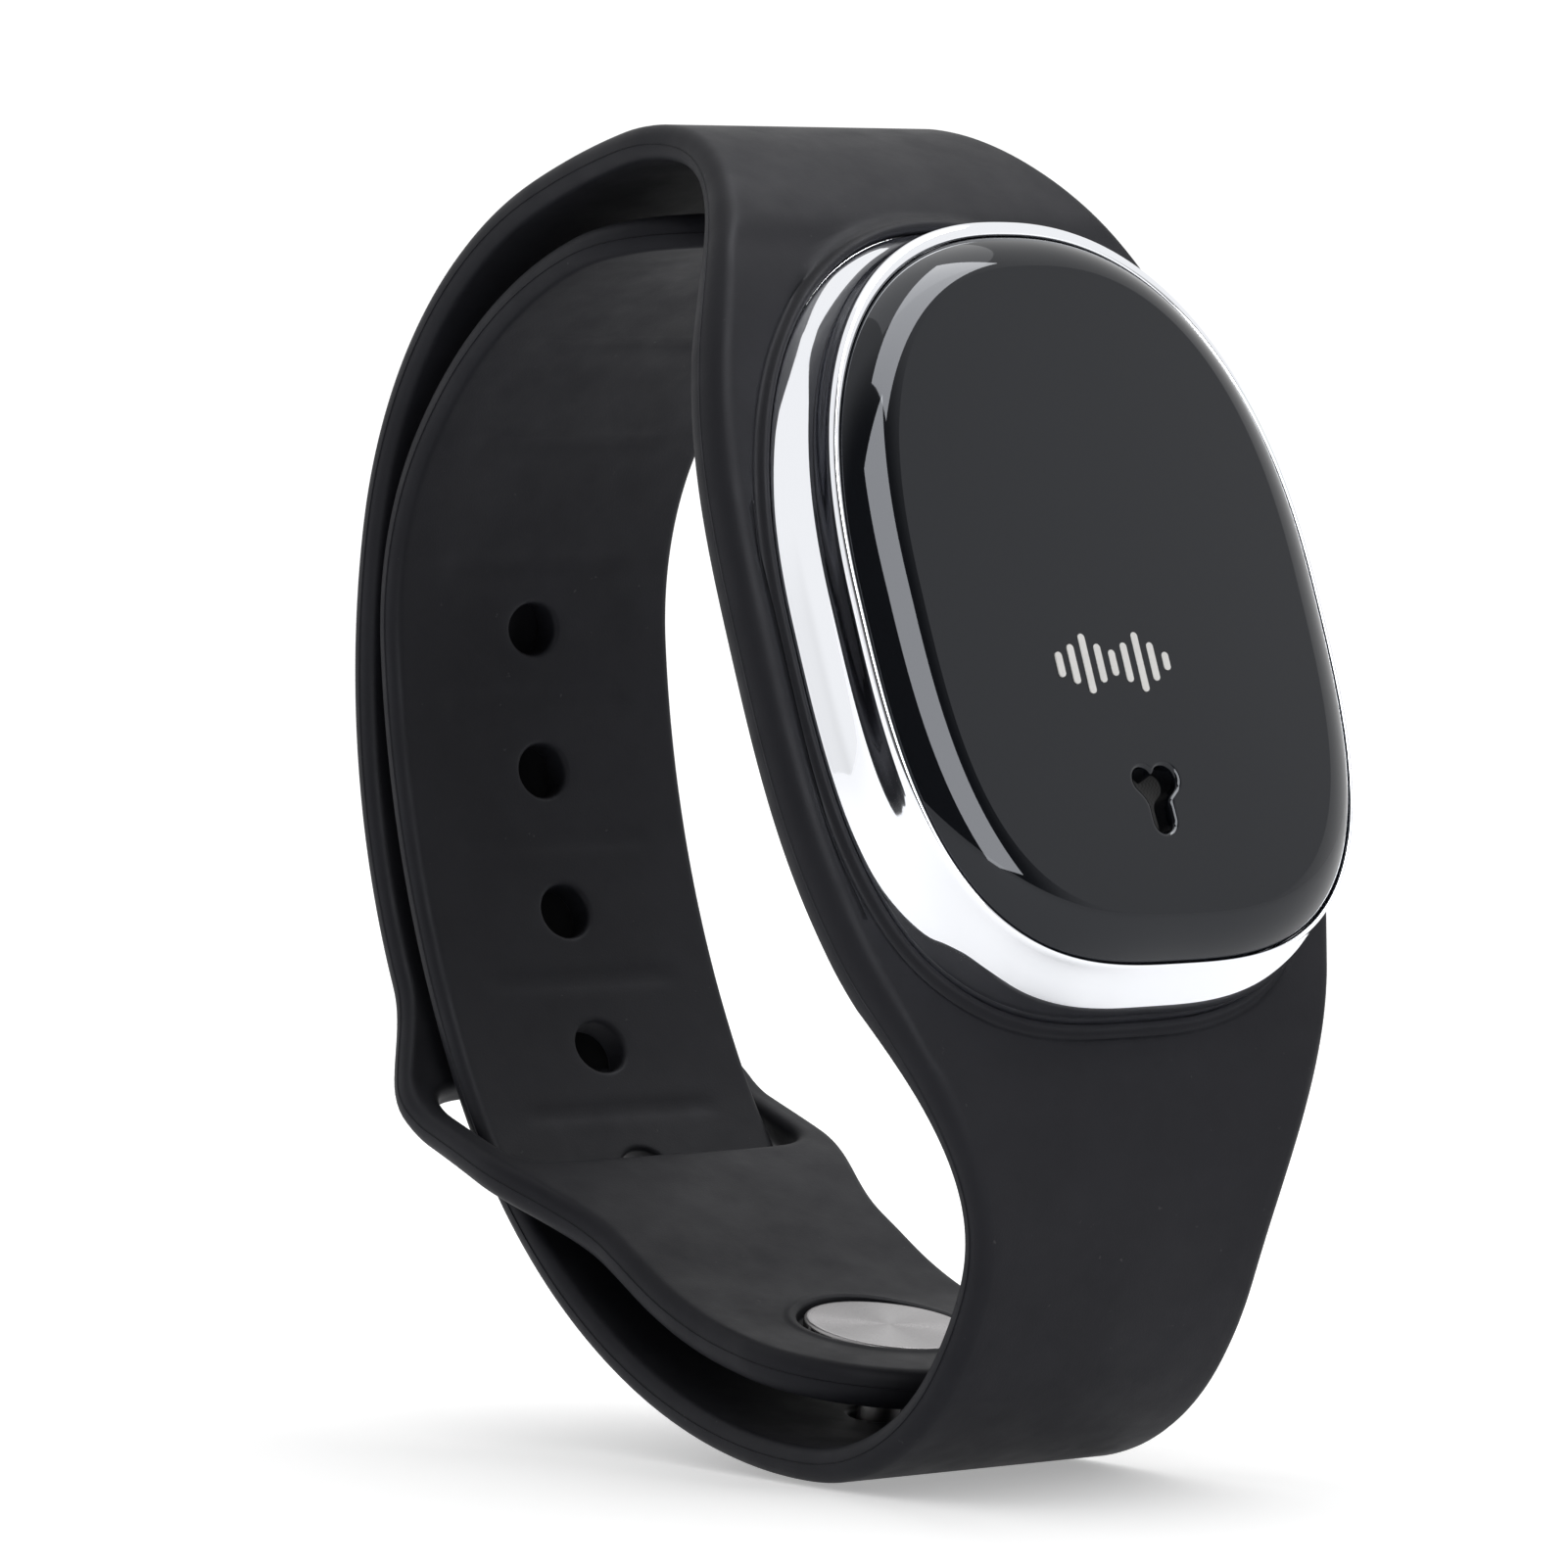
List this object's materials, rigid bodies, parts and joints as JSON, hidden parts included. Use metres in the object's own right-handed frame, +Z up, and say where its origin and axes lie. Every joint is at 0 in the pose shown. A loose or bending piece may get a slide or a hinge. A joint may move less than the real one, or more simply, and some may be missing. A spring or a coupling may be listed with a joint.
{
  "type": "wristband with clip-in electronic pod",
  "caption": "Buckled silicone wristband with stud-and-tuck closure and an oval chrome-rimmed gloss pod that lifts out of its holder.",
  "frame": {"origin": "middle of the bounding box in X and Y, at the lowest point of the closed loop", "axes": "+X along the wrist, across the band; +Y from the pod towards the back of the loop; +Z up, the long way of the loop"},
  "size_m": [0.0346, 0.0587, 0.0685],
  "materials": {
    "silicone": "matte black moulded silicone, fine dust and soft parting line",
    "stud_steel": "circular brushed steel",
    "bezel_chrome": "bright chrome plating",
    "gloss_lens": "deep gloss black, domed",
    "white_mark": "white print",
    "foam_and_tape": "black foam tape",
    "port_fabric": "fine black acoustic mesh",
    "inner_rubber": "black moulded rubber",
    "brass_metal": "satin brass",
    "inner_plastic": "black moulded frame",
    "rear_plastic": "satin black moulded cover",
    "seal_rubber": "red silicone cord",
    "screw_steel": "bright machine screw",
    "board_laminate": "green solder mask",
    "chip_plastic": "moulded package",
    "small_part_ceramic": "ceramic parts with tinned ends",
    "led_resin": "yellow phosphor resin",
    "clear_guide": "clear moulded light guide",
    "cell_foil": "embossed foil pouch",
    "nickel": "nickel strip",
    "gold_contact": "gold-plated contact"
  },
  "bodies": {
    "band": {"holder": "silicone", "upper_strap": "silicone", "lower_strap": "silicone", "strap_tail": "silicone"},
    "pod": {"bezel_ring": "bezel_chrome", "lens_cover": "gloss_lens", "symbol_bars": "white_mark", "lens_adhesive": "foam_and_tape", "port_mesh": "port_fabric", "sounder_gasket": "inner_rubber", "sounder": "brass_metal", "mid_frame": "inner_plastic", "rear_cover": "rear_plastic", "rear_seal": "seal_rubber", "rear_screws": "screw_steel", "circuit_board": "board_laminate", "controller_chip": "chip_plastic", "small_chips": "small_part_ceramic", "indicator_led": "led_resin", "light_guide": "clear_guide", "touch_spring": "brass_metal", "battery_cell": "cell_foil", "battery_pad": "foam_and_tape", "battery_tabs": "nickel", "charging_pins": "gold_contact"},
    "tab": {"stud_tab": "silicone"},
    "stud": {"stud_disc": "stud_steel", "stud_post": "stud_steel"},
    "tip": {"tail_tip": "silicone"}
  },
  "joints": [
    {"name": "pod_release", "type": "slide", "parent": "band", "child": "pod", "axis": [0, -0.9354, 0.3535], "range_m": [0, 0.012]},
    {"name": "stud_release", "type": "slide", "parent": "band", "child": "tab", "axis": [0, -0.1854, 0.9827], "range_m": [0, 0.0045]},
    {"name": "stud_spin", "type": "hinge", "parent": "tab", "child": "stud", "pos_m": [0, -0.00515, 0.00462], "axis": [0, -0.1854, 0.9827], "continuous": true},
    {"name": "tail_flex", "type": "hinge", "parent": "band", "child": "tip", "pos_m": [0, 0.02559, 0.04601], "axis": [1, 0, 0], "range_deg": [0, 12], "stiffness_Nm_per_rad": 0.01, "springref_deg": -4.58}
  ]
}
